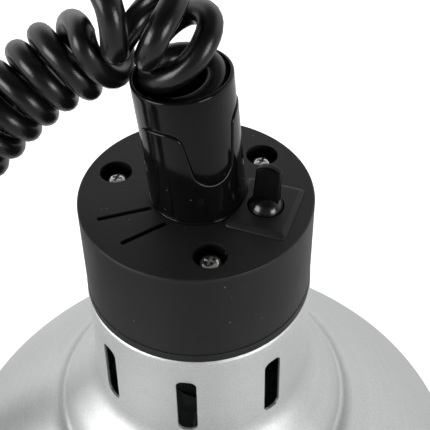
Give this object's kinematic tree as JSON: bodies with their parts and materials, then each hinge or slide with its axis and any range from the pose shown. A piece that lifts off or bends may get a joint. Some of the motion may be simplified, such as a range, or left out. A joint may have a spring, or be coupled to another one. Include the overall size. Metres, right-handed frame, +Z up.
{
  "type": "food heat lamp",
  "caption": "Pendant food warmer lamp with a spun metal bell shade, black switch housing, neck tube, curly cord and ceiling cup.",
  "frame": {"origin": "centre of the shade's rim, on the surface that the lamp stands on", "axes": "+Z up along the housing's axis, +X towards the switch side, the cord leaves towards -X"},
  "size_m": [0.4246, 0.2728, 0.293],
  "materials": {
    "shade_aluminium": "spun aluminium with a fine satin sparkle",
    "housing_black": "fine matt black moulding",
    "neck_black": "glossy black moulding",
    "lever_black": "glossy black",
    "cord_black": "smooth semi-gloss black sheath",
    "screw_steel": "bright nickel plate",
    "plate_steel": "zinc plated",
    "brass": "bright brass",
    "cap_metal": "nickel plated screw cap",
    "holder_black": "black moulding compound",
    "core_ceramic": "white glazed ceramic",
    "bulb_red": "ruby reflector glass",
    "stem_glass": "clear glass",
    "filament": "tungsten and nickel wire",
    "nylon_white": "white nylon",
    "wire_brown": "brown insulation",
    "wire_black": "black insulation",
    "wire_blue": "blue insulation",
    "wire_green": "green and yellow insulation"
  },
  "bodies": {
    "lamp": {"shade": "shade_aluminium", "housing_base": "housing_black", "housing_cap": "housing_black", "housing_screws": "screw_steel", "neck_sleeve": "neck_black", "neck_tube": "neck_black", "neck_nut": "plate_steel", "neck_grip": "holder_black", "cord_tail": "cord_black", "cord_collar": "plate_steel", "collar_screw": "screw_steel", "switch_plate": "housing_black", "switch_body": "holder_black", "switch_terminals": "brass", "holder_body": "holder_black", "holder_bracket": "plate_steel", "holder_nut": "holder_black", "bracket_screws": "screw_steel", "holder_core": "core_ceramic", "holder_shell": "brass", "holder_contact": "brass", "bulb_cap": "cap_metal", "bulb_tip": "cap_metal", "bulb_glass": "bulb_red", "bulb_stem": "stem_glass", "bulb_filament": "filament", "terminal_block": "nylon_white", "wire_live": "wire_brown", "wire_return": "wire_black", "wire_neutral": "wire_blue", "wire_earth": "wire_green", "cord_coil": "cord_black", "ceiling_cup": "housing_black", "cup_grip": "holder_black", "cup_cord": "cord_black", "cup_bar": "plate_steel", "cup_screws": "screw_steel", "cup_terminal": "nylon_white", "cup_wires": "wire_brown"},
    "lever": {"switch_lever": "lever_black"}
  },
  "joints": [
    {"name": "switch_tip", "type": "hinge", "parent": "lamp", "child": "lever", "pos_m": [0.02554, -0.01047, 0.199], "axis": [0.9252, -0.3795, 0], "range_deg": [0, 20]}
  ]
}
